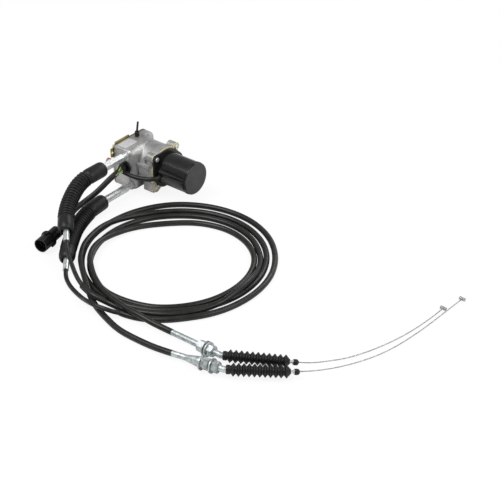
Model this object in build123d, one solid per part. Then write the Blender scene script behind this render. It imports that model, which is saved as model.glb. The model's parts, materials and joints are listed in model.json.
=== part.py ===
from build123d import *
import math
import os

os.makedirs("parts", exist_ok=True)

# Throttle actuator of an excavator: a geared motor turns a two-groove drum, which pulls one
# push-pull cable and pays out the other.  Millimetres.  X runs along the motor from the cover
# to the can, the cables leave towards -Y, Z is up and the floor is z = 0.

# ---------------------------------------------------------------- driving dimensions
# motor and drum axis
AXIS_Y = 7.0
AXIS_Z = 47.0
FLANGE_X = 8.0            # back face of the motor flange

# fits
RUNNING = 0.05            # radial clearance of a shaft in its bearing
SLIDING = 0.3             # radial clearance of a part that slides through
GAP = 0.5                 # free gap between parts that never touch

# motor
CAN_R = 30.0
CAN_LENGTH = 66.5
CAN_WALL = 2.0
CAN_END = 2.5
RIM_WIDTH = 3.0
RIM_HEIGHT = 0.7
RIM_INSET = 4.5
MOTOR_FLANGE_T = 3.5
MOTOR_FLANGE_R = 36.0
SCREW_SPACING = 57.0      # square pattern of the screws, two for the motor and two for its plate
SCREW_R = 2.5
EAR_R = 7.5
MOTOR_PLATE_T = 1.2
MOTOR_PLATE_R = 38.6
PLATE_EAR_R = 8.5
MOTOR_SHAFT_R = 3.0
MAGNET_T = 4.5
MAGNET_LENGTH = 38.0
MAGNET_ANGLE = 130.0
AIR_GAP = 0.8
CORE_LENGTH = 32.0
CORE_SLOTS = 9
COMMUTATOR_R = 8.0
COMMUTATOR_LENGTH = 8.0
WINDING_T = 5.0
BRUSH_W = 5.0
BRUSH_T = 4.0

# gear train: pinion to cluster gear, cluster pinion to output gear, the same pair twice
MODULE = 0.6
PINION_TEETH = 12
GEAR_TEETH = 60
PRESSURE_ANGLE = 20.0
BACKLASH = 0.14
GEAR_T = 5.0
PINION_EXTRA = 2.0
LAYSHAFT_R = 3.0
CHAMBER_DEPTH = 18.8
OUTPUT_SHAFT_R = 5.0
BEARING_R = 13.0
BEARING_T = 7.0

# housing
BOX_BACK_X = -71.0        # face that the cover closes
BOX_FRONT_X = -26.0
BOX_Y0 = -44.0
BOX_Y1 = 47.0
BOX_Z0 = 6.0
BOX_Z1 = 86.0
BOX_CORNER = 7.0
BOX_SHOULDER = 13.0       # large rounding of the box towards the motor
BACK_CORNER = 16.0
RIM_X1 = -57.0            # full outline of the box ends here on its back half
NECK_R = 38.0
BLOCK_X0 = -12.0
EAR_X0 = -9.0
LUG_SIZE = 21.0           # square lug at the block's lower corner
POCKET = 3.5
WALL = 3.0
FOOT_R = 9.0
FOOT_HOLE_R = 3.4
FOOT_HOLE_DEPTH = 12.0
FOOT_TOP = 24.0
FOOT_X = (-57.0, -9.0)
FOOT_Y = (-10.0, 34.0)
RIB_T = 4.0

# cover
COVER_GASKET_T = 1.0
COVER_T = 2.0
COVER_EAR = 4.0
BOLT_HEAD_AF = 8.0
BOLT_HEAD_T = 4.0
BOLT_R = 2.5
BOLT_LENGTH = 12.0
COVER_TAB = 7.0

# drum and its cables
DRUM_R = 30.0             # pitch radius of both grooves
DRUM_RIM = 3.5
DRUM_WALL = 2.6
GROOVE_W = 3.0
GROOVE_X = (-41.0, -34.0)
CORE_R = 0.9              # inner wire
CORE_BORE_R = 1.5
CORE_START = (-5.0, 7.0)    # where each inner wire starts inside the housing
CORE_OUT = 36.0           # how far it reaches past the housing's face
DRUM_WIRE_GAP = 1.0
PLATE_X0 = -57.0
PLATE_T = 6.0
SENSOR_R = 14.0
SENSOR_T = 10.0

# fittings that hold the cables in the housing
STUD_R = 6.0
STUD_IN = 11.0
STUD_OUT = 13.0
FITTING_LENGTH = (64.0, 74.0)    # from the housing face to each boot
STRAIGHT_RUN = 12.0       # of each cable behind its fitting
HUB_RUN = 20.0            # straight run of each cable into its hub
NUT_AF = 14.0
SLEEVE_R = 7.0
NECK_LENGTH = 10.0
NECK_FIT_R = 5.5

# cables
CONDUIT_R = 3.75
SLEEVED_R = 5.15
BOOT_R = 14.0
FERRULE_R = 5.2
FERRULE_LENGTH = 24.0
FERRULE_IN = 5.0
COIL_CENTRE = (177.8, -157.0)
COIL_HALF_DEPTH = 184.0
COIL_HALF_WIDTH = 171.5
COIL_HOLE_CENTRE = (184.3, -179.3)
COIL_HOLE_HALF_DEPTH = 115.0
COIL_HOLE_HALF_WIDTH = 135.0
COIL_TURN = -50.0         # direction of the coil's long axis, degrees from X
COIL_HEIGHT = 4 * SLEEVED_R

# far end of the cables
HUB_START = ((310.0, -327.8, 9.4), (344.0, -367.8, 8.8))
HUB_TIP = ((409.4, -330.4, 13.4), (434.6, -354.4, 13.4))
CRIMP_R = 4.9
CRIMP_LENGTH = 27.0
CONE_R = 8.6               # cable 2's hub widens to this
CONE_AT = (25.0, 48.0, 52.0)     # where the cone starts, ends and meets its washer
THREAD_R = 5.0
HUB_NUT_AF = 17.0
HUB_NUT_AT = ((55.5, 75.5), (54.0, 73.0))    # from each hub's start
HUB_NUT_T = (13.0, 10.0)
WASHER_AT = ((68.5, 73.5), (52.0, 70.5))
WASHER_R = 12.2
WASHER_T = 2.0
BELLOWS_END = ((501.0, -278.0, 13.0), (516.7, -296.5, 13.0))
BELLOWS_R = 10.6
BELLOWS_ROOT_R = 6.2
BELLOWS_WALL = 1.0
BELLOWS_FOLDS = 11
BELLOWS_HEAD_R = 7.2
BELLOWS_SEAT = 3.0        # from the hub's tip, where the axis turns
STUB = 9.0                # of the hub's thread beyond its tip, inside the bellows
BELLOWS_NECK = (7.0, 2.4)
TIP_R = 2.6
CAP_R = 4.6
CAP_LENGTH = 7.0
ROD_INSIDE = 60.0
END_R = 2.9
END_LENGTH = 9.0

# shafts, pins and nipples
PINION_BORE = 2.0
PIN_R = 1.8
SENSOR_SHAFT_R = 3.0
NIPPLE_R = 2.2

# wiring
GROMMET_X = -45.0
GROMMET_Z = 51.0
GROMMET_R = 13.0
GROMMET_FLANGE_T = 3.0
GROMMET_NOSE_R = 7.0
GROMMET_OUT = 7.0
GROMMET_HOLE_R = 9.0
HARNESS_R = 5.25
LEAD_R = 4.0
CONNECTOR_REAR = (-30.4, -237.0, 15.6)
CONNECTOR_MOUTH = (-20.6, -286.1, 15.6)
CONNECTOR_R = 12.5
CONNECTOR_COLLAR_R = 15.0
CONNECTOR_WALL = 1.8
CONNECTOR_DEPTH = 22.0
TERMINAL_R = 1.2
TERMINALS = 8

# vent and label
VENT_X = -62.0
VENT_Y = 9.0
VENT_R = 4.4
VENT_HEIGHT = 10.0
VENT_TUBE_R = 1.9
VENT_TUBE = 20.0
VENT_LEAN = 9.0
LABEL_X = (-67.0, -47.0)
LABEL_Y = (-39.0, -7.0)
LABEL_T = 0.4

# ---------------------------------------------------------------- routes, point by point
ROUTE_1 = [
    (-43.2, -146.0, 75.8), (-42.5, -165.0, 71.8), (-35.5, -188.0, 65.5),
    (-24.0, -214.0, 56.0), (-4.3, -239.8, 47.2), (13.0, -256.0, 43.2), (34.2, -277.7, 36.2),
    (52.0, -292.0, 30.8), (71.3, -305.1, 27.5), (91.8, -318.2, 24.0), (108.6, -326.6, 20.0),
    (128.0, -333.0, 18.0), (147.0, -333.6, 16.2), (166.0, -328.0, 12.0),
]
BOOT_1_POINTS = 6
ROUTE_2 = [
    (-31.9, -157.0, 14.9), (-27.0, -174.0, 14.4), (-20.5, -192.0, 14.3),
    (-10.0, -215.0, 14.3), (5.5, -239.0, 14.3), (23.1, -265.0, 14.3), (41.4, -287.4, 13.6),
    (56.0, -305.0, 8.4), (68.0, -317.0, 4.6), (86.2, -328.2, 4.0), (107.8, -336.7, 4.2),
    (133.3, -345.5, 7.0), (152.0, -354.0, 14.5), (172.5, -358.0, 17.4), (194.0, -353.5, 16.6),
    (213.0, -341.0, 10.0), (226.0, -326.0, 5.6),
]
BOOT_2_POINTS = 7
LEAD_OUT_1 = [(226.0, -330.0, 15.6), (248.0, -331.8, 15.2), (270.0, -330.5, 11.8)]
LEAD_OUT_2 = [
    (117.0, -318.0, 5.3), (131.0, -330.0, 5.3), (150.0, -341.5, 5.2), (186.3, -358.6, 5.2),
    (218.3, -367.5, 5.2), (256.0, -371.8, 5.2), (298.0, -371.4, 5.5),
]
WIRE_1 = [
    (526.0, -257.0, 9.6), (541.0, -234.0, 6.6), (553.5, -214.0, 4.4), (565.0, -191.0, 3.2),
    (577.0, -162.0, 3.0), (588.0, -127.5, 3.0), (596.5, -89.0, 3.0), (601.5, -45.0, 3.0),
    (602.8, -18.0, 3.0), (603.0, -6.0, 3.0),
]
WIRE_2 = [
    (541.0, -269.0, 9.4), (553.5, -248.0, 6.4), (564.5, -227.0, 4.2), (575.5, -205.0, 3.2),
    (587.0, -179.0, 3.0), (597.0, -147.0, 3.0), (604.0, -107.0, 3.0), (608.5, -62.0, 3.0),
    (611.0, -14.0, 3.0), (612.5, 17.0, 3.0), (613.5, 35.0, 3.0),
]
HARNESS = [
    (-45.5, -61.0, 49.4), (-48.0, -73.0, 45.0), (-51.0, -86.0, 38.0), (-54.5, -99.0, 29.5),
    (-60.0, -113.0, 20.0), (-67.5, -131.0, 10.6), (-69.0, -152.0, 6.2), (-61.5, -175.0, 5.4),
    (-50.5, -196.0, 6.4), (-40.5, -215.0, 9.6), (-34.5, -228.0, 13.4),
]
MOTOR_LEAD = [
    (17.0, -22.4, 42.5), (15.4, -31.0, 42.0), (8.4, -38.6, 41.2), (-5.0, -44.5, 40.8),
    (-20.0, -49.6, 41.6), (-34.0, -53.0, 44.6), (-44.5, -57.0, 49.6),
]

# ---------------------------------------------------------------- values that follow
CAN_X0 = FLANGE_X + MOTOR_FLANGE_T
CAN_X1 = CAN_X0 + CAN_LENGTH
BLOCK_X1 = FLANGE_X - MOTOR_PLATE_T
CHAMBER_X0 = BLOCK_X1 - CHAMBER_DEPTH
PITCH_PINION = MODULE * PINION_TEETH / 2
PITCH_GEAR = MODULE * GEAR_TEETH / 2
CENTRE_DISTANCE = PITCH_PINION + PITCH_GEAR
LAYSHAFT_Y = AXIS_Y + CENTRE_DISTANCE
GEAR_OUTER = PITCH_GEAR + MODULE
CAVITY_R = DRUM_R + DRUM_RIM + 2 * GAP
CAVITY_X1 = GROOVE_X[1] + GROOVE_W / 2 + DRUM_WALL + 2 * GAP
DRUM_X0 = GROOVE_X[0] - GROOVE_W / 2 - DRUM_WALL
DRUM_X1 = GROOVE_X[1] + GROOVE_W / 2 + DRUM_WALL
COVER_X1 = BOX_BACK_X - COVER_GASKET_T
COVER_X0 = COVER_X1 - COVER_T
WIRE_Z = (AXIS_Z + DRUM_R, AXIS_Z - DRUM_R)
BULGE_R = GEAR_OUTER + GAP + WALL
FLANGE_HOLES = [(AXIS_Y + sy * SCREW_SPACING / 2, AXIS_Z + sz * SCREW_SPACING / 2)
                for sy in (-1, 1) for sz in (-1, 1)]
MOTOR_EARS = (FLANGE_HOLES[1], FLANGE_HOLES[2])
CORE_X0 = CAN_X0 + 17
CORE_R_OUT = CAN_R - CAN_WALL - MAGNET_T - AIR_GAP
COMMUTATOR_X0 = CAN_X0 + 3
OUTPUT_GEAR_X0 = CHAMBER_X0 + 1.5
CLUSTER_PINION_X0 = OUTPUT_GEAR_X0 - 0.5
CLUSTER_GEAR_X0 = CLUSTER_PINION_X0 + GEAR_T + PINION_EXTRA
HALF_PITCH_GEAR = 180 / GEAR_TEETH
COVER_BOLTS = [(BOX_Y0 + 6, BOX_Z0 + 6), (BOX_Y0 + 6, AXIS_Z - 14), (BOX_Y0 + 6, BOX_Z1 - 6),
               (BOX_Y1 - 6, BOX_Z0 + 6), (BOX_Y1 - 4.5, AXIS_Z + 12), (BOX_Y1 - 11, BOX_Z1 - 11)]


# ---------------------------------------------------------------- helpers
def export(node, shape):
    export_step(shape, f"parts/{node}.step")
    return shape


def rod_x(x0, x1, radius, y=AXIS_Y, z=AXIS_Z):
    """A cylinder along X from x0 to x1."""
    return extrude(Plane.YZ.offset(x0) * Pos(y, z) * Circle(radius), x1 - x0)


def tube_x(x0, x1, outer, inner, y=AXIS_Y, z=AXIS_Z):
    return rod_x(x0, x1, outer, y, z) - rod_x(x0 - 1, x1 + 1, inner, y, z)


def rod_between(start, end, radius):
    """A cylinder from one point to another."""
    a, b = Vector(*start), Vector(*end)
    return extrude(Plane(origin=a, z_dir=b - a) * Circle(radius), (b - a).length)


def hex_between(start, end, across_flats, chamfer_share=0.0):
    a, b = Vector(*start), Vector(*end)
    plane = Plane(origin=a, z_dir=b - a)
    body = extrude(plane * RegularPolygon(across_flats / 2, 6, major_radius=False), (b - a).length)
    if chamfer_share:
        corner = across_flats / math.sqrt(3)
        length = (b - a).length
        drop = corner * chamfer_share
        profile = Polyline((0, 0), (corner - drop, 0), (corner, drop * 0.6), (corner, length - drop * 0.6),
                           (corner - drop, length), (0, length), close=True)
        turned = revolve(Plane.XZ * make_face(profile), Axis.Z)
        body = body & (plane.location * turned)
    return body


def along(start, end, distance):
    """The point at a distance from start towards end."""
    a, b = Vector(*start), Vector(*end)
    p = a + (b - a).normalized() * distance
    return (p.X, p.Y, p.Z)


def box_between(x0, x1, y0, y1, z0, z1):
    return Pos((x0 + x1) / 2, (y0 + y1) / 2, (z0 + z1) / 2) * Box(x1 - x0, y1 - y0, z1 - z0)


def route_path(points):
    """Straight runs joined by tangent arcs, each as large as its two runs allow."""
    vectors = [Vector(*p) for p in points]
    radii = []
    for before, here, after in zip(vectors, vectors[1:], vectors[2:]):
        into, out = here - before, after - here
        turn = math.radians(into.get_angle(out))
        radii.append(0.45 * min(into.length, out.length) / math.tan(turn / 2))
    return FilletPolyline(*points, radius=radii), radii


def route_tube(name, points, radius):
    path, radii = route_path(points)
    start = Vector(*points[0])
    plane = Plane(origin=start, z_dir=Vector(*points[1]) - start)
    solid = sweep(plane * Circle(radius), path=path)
    if name:
        print(name, "length", round(path.length, 1), "volume share",
              round(solid.volume / (math.pi * radius ** 2 * path.length), 4),
              "radii", [round(r) for r in radii])
    return solid


def involute_point(base, radius):
    """Angle that the involute has turned where it reaches this radius."""
    if radius <= base:
        return 0.0
    roll = math.sqrt((radius / base) ** 2 - 1)
    return roll - math.atan(roll)


def gear_face(teeth, addendum, first_tooth):
    """Outline of a spur gear with one tooth centred at the angle first_tooth (degrees)."""
    pitch = MODULE * teeth / 2
    base = pitch * math.cos(math.radians(PRESSURE_ANGLE))
    tip, root = pitch + addendum * MODULE, pitch - 1.25 * MODULE
    half = (math.pi * MODULE / 2 - BACKLASH) / (2 * pitch) + involute_point(base, pitch)
    flank_radii = [root, max(base, root + 0.02), pitch, (pitch + tip) / 2, tip]
    points = []
    for tooth in range(teeth):
        centre = math.radians(first_tooth) + 2 * math.pi * tooth / teeth
        offsets = [(r, half - involute_point(base, r)) for r in flank_radii]
        for r, off in offsets:
            points.append((r * math.cos(centre - off), r * math.sin(centre - off)))
        for r, off in reversed(offsets):
            points.append((r * math.cos(centre + off), r * math.sin(centre + off)))
    return make_face(Polyline(*points, close=True))


def gear_x(x0, thickness, teeth, addendum, first_tooth, y):
    face = Plane.YZ.offset(x0) * Pos(y, AXIS_Z) * gear_face(teeth, addendum, first_tooth)
    return extrude(face, thickness)


def flange_outline(radius, ears, ear_r, bulge_r):
    """Disc round the motor axis, with tapering ears, and a lobe that closes the gear chamber."""
    disc = Circle(radius)
    face = disc + Pos(CENTRE_DISTANCE, 0) * Circle(bulge_r)
    for y, z in ears:
        ear = Pos(y - AXIS_Y, z - AXIS_Z) * Circle(ear_r)
        face += make_hull(disc.edges() + ear.edges())
    return Pos(AXIS_Y, AXIS_Z) * face


def plate_outline():
    """Outline of the plate between motor and housing: a disc with four round ears."""
    face = Circle(MOTOR_PLATE_R) + Pos(CENTRE_DISTANCE, 0) * Circle(BULGE_R)
    for y, z in FLANGE_HOLES:
        face += Pos(y - AXIS_Y, z - AXIS_Z) * Circle(PLATE_EAR_R)
    return Pos(AXIS_Y, AXIS_Z) * face


# ---------------------------------------------------------------- housing
def box_outline(grow=0.0):
    """Outline of the gearbox across the motor axis; its top back corner is rounder."""
    width, height = BOX_Y1 - BOX_Y0 + 2 * grow, BOX_Z1 - BOX_Z0 + 2 * grow
    outline = RectangleRounded(width, height, BOX_CORNER + grow)
    corner = BACK_CORNER + grow
    outline -= Pos(width / 2 - corner / 2, height / 2 - corner / 2) * Rectangle(corner, corner)
    outline += Pos(width / 2 - corner, height / 2 - corner) * Circle(corner)
    return Pos((BOX_Y0 + BOX_Y1) / 2, (BOX_Z0 + BOX_Z1) / 2) * outline


def gearbox():
    """Box on the cable side, full rim at the cover, and the round body behind it."""
    rim = extrude(Plane.YZ.offset(BOX_BACK_X) * box_outline(), RIM_X1 - BOX_BACK_X)
    front = box_between(RIM_X1 - 1, BOX_FRONT_X, BOX_Y0, AXIS_Y, BOX_Z0, BOX_Z1)
    end = front.edges().filter_by_position(Axis.X, BOX_FRONT_X - 0.1, BOX_FRONT_X + 0.1)
    rounded = [e for e in end if e.center().Y < AXIS_Y - 1 and e.center().Z > BOX_Z0 + 1]
    front = fillet(rounded, BOX_SHOULDER)
    long_edges = [e for e in front.edges().filter_by(Axis.X) if e.center().Y < BOX_Y0 + 1]
    front = fillet(long_edges, BOX_CORNER - 0.5)
    lug = box_between(RIM_X1 - 1, RIM_X1 + 6, BOX_Y1 - 22, BOX_Y1 - 9, AXIS_Z + 18, BOX_Z1 - 8)
    return rim + front + fillet(lug.edges().filter_by(Axis.X), 3)


def motor_end():
    """Round block that carries the motor, with its ears, its lobe and a square lower lug."""
    block = rod_x(BLOCK_X0, BLOCK_X1, MOTOR_PLATE_R)
    block = fillet(block.edges().sort_by(Axis.X)[0], 3)
    block += rod_x(BLOCK_X0, BLOCK_X1, BULGE_R, LAYSHAFT_Y)
    for y, z in FLANGE_HOLES:
        inward = Vector(0, AXIS_Y - y, AXIS_Z - z).normalized() * 8
        ear = rod_x(EAR_X0, BLOCK_X1, PLATE_EAR_R, y, z)
        block += ear + rod_x(EAR_X0, BLOCK_X1, PLATE_EAR_R, y + inward.Y, z + inward.Z)
    y, z = FLANGE_HOLES[0]
    lug = box_between(BLOCK_X0 - 2, BLOCK_X1, y - PLATE_EAR_R - 1, y - PLATE_EAR_R + LUG_SIZE,
                      z - PLATE_EAR_R - 2, z - PLATE_EAR_R + LUG_SIZE)
    block += fillet(lug.edges().filter_by(Axis.X), 4)
    return block


def housing():
    body = gearbox() + motor_end()
    neck = rod_x(RIM_X1 - 1, BLOCK_X0 + 4, NECK_R)
    body += neck
    # ribs and a screw boss on the cable side of the neck
    for z in (AXIS_Z - 12, AXIS_Z + 13):
        body += box_between(BOX_FRONT_X - 8, BLOCK_X1 - 6, BOX_Y0 + 9, AXIS_Y - 20,
                            z - RIB_T / 2, z + RIB_T / 2)
    boss_y, boss_z = FLANGE_HOLES[1]
    body += box_between(EAR_X0 - 4, BLOCK_X1, boss_y - PLATE_EAR_R, boss_y + 4, boss_z - 16, boss_z)
    pocket = box_between(EAR_X0 - 1, BLOCK_X1 - 5, boss_y - PLATE_EAR_R - 2, boss_y - PLATE_EAR_R + POCKET,
                         boss_z - 12, boss_z - 3)
    body -= fillet(pocket.edges().filter_by(Axis.Y), 2)
    # bosses that the cable studs screw into
    for x, z in zip(GROOVE_X, WIRE_Z):
        body += extrude(Plane.XZ.offset(-BOX_Y0 - 1) * Pos(x, z) * Circle(STUD_R + 2.5), 2)
    for x in FOOT_X:
        for y in FOOT_Y:
            body += rod_between((x, y, 0), (x, y, FOOT_TOP), FOOT_R)
    # hollows: drum chamber, gear chamber and the shaft bore between them
    body -= rod_x(BOX_BACK_X - 1, CAVITY_X1, CAVITY_R)
    body -= rod_x(CHAMBER_X0, BLOCK_X1 + 1, GEAR_OUTER + GAP)
    body -= rod_x(CHAMBER_X0, BLOCK_X1 + 1, GEAR_OUTER + GAP, LAYSHAFT_Y)
    body -= rod_x(CAVITY_X1 - 1, CHAMBER_X0 + 1, OUTPUT_SHAFT_R + SLIDING)
    body -= rod_x(CHAMBER_X0 - BEARING_T, CHAMBER_X0 + 1, BEARING_R)
    body -= rod_x(CHAMBER_X0 - 8, CHAMBER_X0 + 1, LAYSHAFT_R, LAYSHAFT_Y)
    # drilled holes
    for y, z in FLANGE_HOLES:
        body -= rod_x(BLOCK_X1 - 14, BLOCK_X1 + 1, SCREW_R, y, z)
    for y, z in COVER_BOLTS:
        body -= rod_x(BOX_BACK_X - 1, BOX_BACK_X + BOLT_LENGTH, BOLT_R, y, z)
    for x, z in zip(GROOVE_X, WIRE_Z):
        body -= rod_between((x, BOX_Y0 - 5, z), (x, BOX_Y0 + STUD_IN, z), STUD_R)
        body -= rod_between((x, BOX_Y0, z), (x, AXIS_Y, z), CORE_BORE_R + GAP)
    seat = (GROMMET_X, BOX_Y0, GROMMET_Z)
    body -= rod_between((GROMMET_X, BOX_Y0 - 1, GROMMET_Z), (GROMMET_X, AXIS_Y, GROMMET_Z), GROMMET_HOLE_R)
    body -= rod_between((GROMMET_X, BOX_Y0 - 4, GROMMET_Z), seat, GROMMET_R + SLIDING)
    body -= rod_between((VENT_X, VENT_Y, BOX_Z1 - 12), (VENT_X, VENT_Y, BOX_Z1 + 1), VENT_TUBE_R)
    for x in FOOT_X:
        for y in FOOT_Y:
            body -= rod_between((x, y, -1), (x, y, FOOT_HOLE_DEPTH), FOOT_HOLE_R)
    return body


def cover_gasket():
    ring = extrude(Plane.YZ.offset(COVER_X1) * box_outline(0.4), COVER_GASKET_T)
    ring -= rod_x(COVER_X1 - 1, BOX_BACK_X + 1, CAVITY_R)
    for y, z in COVER_BOLTS:
        ring -= rod_x(COVER_X1 - 1, BOX_BACK_X + 1, BOLT_R, y, z)
    return ring


def cover_plate():
    plate = extrude(Plane.YZ.offset(COVER_X0) * box_outline(), COVER_T)
    ears = ((-39.0, -1.0, BOX_Z1 + COVER_EAR), (29.0, 39.0, BOX_Z1 - 1))
    for y0, y1, top in ears:
        ear = box_between(COVER_X0, COVER_X1, y0, y1, BOX_Z1 - 12, top)
        plate += fillet(ear.edges().filter_by(Axis.X), 1.5)
    tab = box_between(COVER_X0, COVER_X1, BOX_Y0 - COVER_TAB, BOX_Y0 + 5, AXIS_Z + 16, AXIS_Z + 34)
    plate += fillet(tab.edges().filter_by(Axis.X), 2)
    plate -= rod_x(COVER_X0 - 1, COVER_X1 + 1, BOLT_R, BOX_Y0 - 3, AXIS_Z + 25)
    for y, z in COVER_BOLTS:
        plate -= rod_x(COVER_X0 - 1, COVER_X1 + 1, BOLT_R, y, z)
    return plate


def cover_bolts():
    heads = []
    for y, z in COVER_BOLTS:
        head = hex_between((COVER_X0 - BOLT_HEAD_T, y, z), (COVER_X0, y, z), BOLT_HEAD_AF, 0.15)
        heads.append(head + rod_x(COVER_X0 - 0.5, BOX_BACK_X + BOLT_LENGTH - 2, BOLT_R, y, z))
    return Compound(heads)


# ---------------------------------------------------------------- motor
def motor_plate():
    sheet = extrude(Plane.YZ.offset(BLOCK_X1) * plate_outline(), MOTOR_PLATE_T)
    sheet -= rod_x(BLOCK_X1 - 1, FLANGE_X + 1, GEAR_OUTER + GAP)
    for y, z in FLANGE_HOLES:
        sheet -= rod_x(BLOCK_X1 - 1, FLANGE_X + 1, SCREW_R + 0.3, y, z)
    return sheet


def motor_flange():
    outline = flange_outline(MOTOR_FLANGE_R, MOTOR_EARS, EAR_R, BULGE_R - 1)
    plate = extrude(Plane.YZ.offset(FLANGE_X) * outline, MOTOR_FLANGE_T)
    plate -= rod_x(FLANGE_X - 1, CAN_X0 + 1, MOTOR_SHAFT_R + 1)
    plate -= rod_x(FLANGE_X + 1, CAN_X0 + 1, BEARING_R * 0.6)
    for y, z in MOTOR_EARS:
        plate -= rod_x(FLANGE_X - 1, CAN_X0 + 1, SCREW_R + 0.3, y, z)
    return plate


def flange_screws():
    screws = []
    for y, z in FLANGE_HOLES:
        seat = CAN_X0 if (y, z) in MOTOR_EARS else FLANGE_X
        head = rod_x(seat, seat + 3, 4.2, y, z)
        head = fillet(head.edges().sort_by(Axis.X)[-1], 1.2)
        for turn in (45, 135):
            head -= Pos(seat + 3, y, z) * Rot(turn, 0, 0) * Box(2.4, 4.6, 0.9)
        screws.append(head + rod_x(BLOCK_X1 - 10, seat + 0.5, SCREW_R, y, z))
    return Compound(screws)


def motor_can():
    can = rod_x(CAN_X0, CAN_X1, CAN_R)
    can = fillet(can.edges().sort_by(Axis.X)[-1], 1.6)
    rim = rod_x(CAN_X1 - RIM_INSET - RIM_WIDTH, CAN_X1 - RIM_INSET, CAN_R + RIM_HEIGHT)
    rim = fillet(rim.edges(), RIM_HEIGHT * 0.8)
    can += rim + rod_x(CAN_X0, CAN_X0 + 4, CAN_R + 1.2)
    can -= rod_x(CAN_X0 - 1, CAN_X1 - CAN_END, CAN_R - CAN_WALL)
    lead = MOTOR_LEAD[0]
    can -= rod_between((lead[0], AXIS_Y - CAN_R + 8, lead[2]), (lead[0], AXIS_Y - CAN_R - 4, lead[2]),
                       LEAD_R + GAP)
    boss = tube_x(CAN_X1 - CAN_END - 5, CAN_X1 - CAN_END + 0.5, 9, 6)
    return can + boss


def magnets():
    outer = CAN_R - CAN_WALL
    x0 = CAN_X0 + 14
    ring = tube_x(x0, x0 + MAGNET_LENGTH, outer, outer - MAGNET_T)
    arcs = []
    half = MAGNET_ANGLE / 2
    for middle in (0, 180):
        a0, a1 = math.radians(middle - half), math.radians(middle + half)
        reach = 3 * CAN_R
        wedge = Polyline((0, 0), (reach * math.cos(a0), reach * math.sin(a0)),
                         (reach * math.cos(math.radians(middle)), reach * math.sin(math.radians(middle))),
                         (reach * math.cos(a1), reach * math.sin(a1)), close=True)
        face = Plane.YZ.offset(x0 - 1) * Pos(AXIS_Y, AXIS_Z) * make_face(wedge)
        arcs.append(ring & extrude(face, MAGNET_LENGTH + 2))
    return Compound([s for arc in arcs for s in arc.solids()])


def armature_core():
    core = rod_x(CORE_X0, CORE_X0 + CORE_LENGTH, CORE_R_OUT)
    for k in range(CORE_SLOTS):
        slot = Rot(k * 360 / CORE_SLOTS, 0, 0) * Pos(0, 0, CORE_R_OUT - 4) * Box(CORE_LENGTH + 2, 2.4, 9)
        core -= Pos(CORE_X0 + CORE_LENGTH / 2, AXIS_Y, AXIS_Z) * slot
    return core - rod_x(CORE_X0 - 1, CORE_X0 + CORE_LENGTH + 1, MOTOR_SHAFT_R)


def armature_windings():
    outer = CORE_R_OUT - 3
    rings = []
    core_x1 = CORE_X0 + CORE_LENGTH
    for x0, x1 in ((CORE_X0 - WINDING_T, CORE_X0), (core_x1, core_x1 + WINDING_T)):
        ring = tube_x(x0, x1, outer, outer * 0.45)
        rounds = [e for e in ring.edges().filter_by(GeomType.CIRCLE) if e.radius > outer - 0.1]
        rings.append(fillet(rounds, 1.5))
    return Compound(rings)


def commutator():
    return tube_x(COMMUTATOR_X0, COMMUTATOR_X0 + COMMUTATOR_LENGTH, COMMUTATOR_R, MOTOR_SHAFT_R)


def brushes():
    x = COMMUTATOR_X0 + COMMUTATOR_LENGTH / 2
    pair = []
    for side in (-1, 1):
        z0, z1 = sorted((AXIS_Z + side * COMMUTATOR_R, AXIS_Z + side * (COMMUTATOR_R + 9)))
        block = box_between(x - BRUSH_W / 2, x + BRUSH_W / 2, AXIS_Y - BRUSH_T / 2, AXIS_Y + BRUSH_T / 2,
                            z0, z1)
        pair.append(block - rod_x(x - BRUSH_W, x + BRUSH_W, COMMUTATOR_R + RUNNING))
    return Compound(pair)


def brush_holder():
    """Insulating frame round both brushes, seated inside the can."""
    x0, x1 = COMMUTATOR_X0 + 0.5, COMMUTATOR_X0 + COMMUTATOR_LENGTH - 0.5
    ring = tube_x(x0, x1, CAN_R - CAN_WALL, COMMUTATOR_R + 1.2)
    x = COMMUTATOR_X0 + COMMUTATOR_LENGTH / 2
    for side in (-1, 1):
        z0, z1 = sorted((AXIS_Z + side * 3, AXIS_Z + side * (COMMUTATOR_R + 9)))
        ring -= box_between(x - BRUSH_W / 2, x + BRUSH_W / 2, AXIS_Y - BRUSH_T / 2, AXIS_Y + BRUSH_T / 2,
                            z0, z1)
    lead = MOTOR_LEAD[0]
    ring -= box_between(x0 - 1, x1 + 1, AXIS_Y - CAN_R, AXIS_Y - CAN_R + 10, lead[2] - 5, lead[2] + 5)
    return ring


def motor_bearings():
    front = tube_x(FLANGE_X + 1, CAN_X0, BEARING_R * 0.6, MOTOR_SHAFT_R + RUNNING)
    rear = tube_x(CAN_X1 - CAN_END - 5, CAN_X1 - CAN_END, 6, MOTOR_SHAFT_R + RUNNING)
    return Compound([front, rear])


# ---------------------------------------------------------------- gear train and drum


def motor_pinion():
    x0 = CLUSTER_GEAR_X0 - 0.5
    pinion = gear_x(x0, GEAR_T + 1.5, PINION_TEETH, 1.0, 0, AXIS_Y)
    return pinion - rod_x(x0 - 1, x0 + GEAR_T + 3, PINION_BORE)


def motor_shaft():
    """The shaft narrows to the pinion's bore where it enters the gear chamber."""
    x_step = CLUSTER_GEAR_X0 + GEAR_T + 1.2
    return rod_x(x_step, CAN_X1 - CAN_END - 1, MOTOR_SHAFT_R) + rod_x(
        CLUSTER_GEAR_X0 - 0.5, x_step + 0.5, PINION_BORE)


def cluster_gear():
    wheel = gear_x(CLUSTER_GEAR_X0, GEAR_T, GEAR_TEETH, 0.7, 180 + HALF_PITCH_GEAR, LAYSHAFT_Y)
    pinion = gear_x(CLUSTER_PINION_X0, GEAR_T + PINION_EXTRA + 0.5, PINION_TEETH, 1.0, 180, LAYSHAFT_Y)
    both = wheel + pinion
    return both - rod_x(CLUSTER_PINION_X0 - 1, CLUSTER_GEAR_X0 + GEAR_T + 1, PIN_R + RUNNING, LAYSHAFT_Y)


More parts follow.
